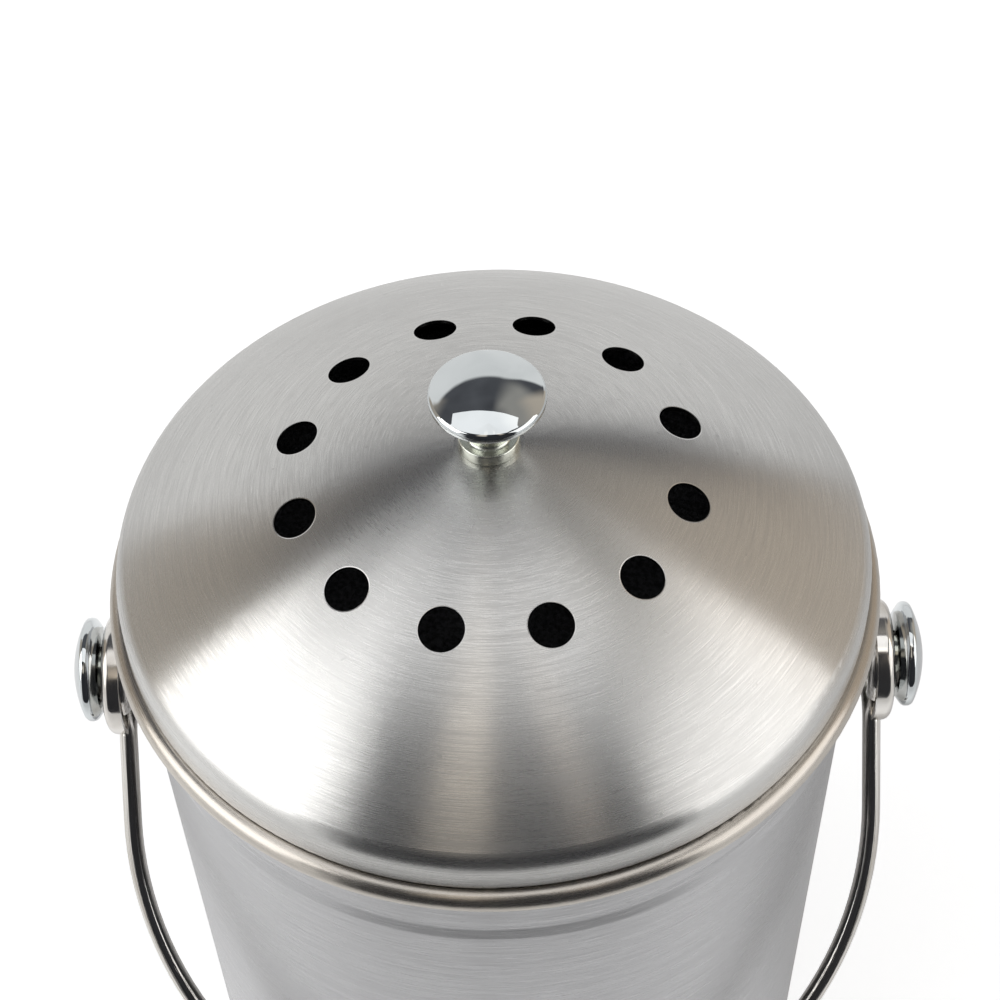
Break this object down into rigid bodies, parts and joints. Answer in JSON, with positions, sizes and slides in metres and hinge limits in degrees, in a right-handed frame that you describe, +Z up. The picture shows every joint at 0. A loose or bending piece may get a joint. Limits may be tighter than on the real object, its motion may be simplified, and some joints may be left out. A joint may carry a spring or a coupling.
{
  "type": "kitchen compost pail",
  "caption": "Round brushed-steel kitchen compost pail with a vented, domed lift-off lid, a charcoal filter under the lid and a wire bail on side knobs.",
  "frame": {"origin": "centre of the ring that the pail stands on, at worktop level", "axes": "+Z up along the pail's axis, X through the two side knobs, -Y the front, towards which the bail hangs"},
  "size_m": [0.2124, 0.183, 0.2796],
  "materials": {
    "brushed_steel": "fine circular brushing",
    "polished_steel": "polished",
    "screw_steel": "plain zinc-plated steel",
    "black_plastic": "moulded, satin",
    "charcoal": "open charcoal foam",
    "seal_rubber": "matte"
  },
  "bodies": {
    "pail": {"pail_body": "brushed_steel", "side_knob_left_stem": "polished_steel", "side_knob_left_cap": "polished_steel", "side_knob_right_stem": "polished_steel", "side_knob_right_cap": "polished_steel", "side_left_washer": "screw_steel", "side_left_screw": "screw_steel", "side_right_washer": "screw_steel", "side_right_screw": "screw_steel", "side_left_seal": "seal_rubber", "side_right_seal": "seal_rubber"},
    "lid": {"lid_shell": "brushed_steel", "lid_skirt": "brushed_steel", "filter_holder": "black_plastic", "filter_pad": "charcoal", "lid_knob_stem": "polished_steel", "lid_knob_cap": "polished_steel", "lid_washer": "screw_steel", "lid_screw": "screw_steel"},
    "bail": {"bail_wire": "polished_steel", "bail_plate_left": "polished_steel", "bail_plate_right": "polished_steel"}
  },
  "joints": [
    {"name": "lid_lift", "type": "slide", "parent": "pail", "child": "lid", "axis": [0, 0, 1], "range_m": [0, 0.08]},
    {"name": "bail_swing", "type": "hinge", "parent": "pail", "child": "bail", "pos_m": [0, 0, 0.173], "axis": [-1, 0, 0], "range_deg": [0, 277.08]}
  ]
}
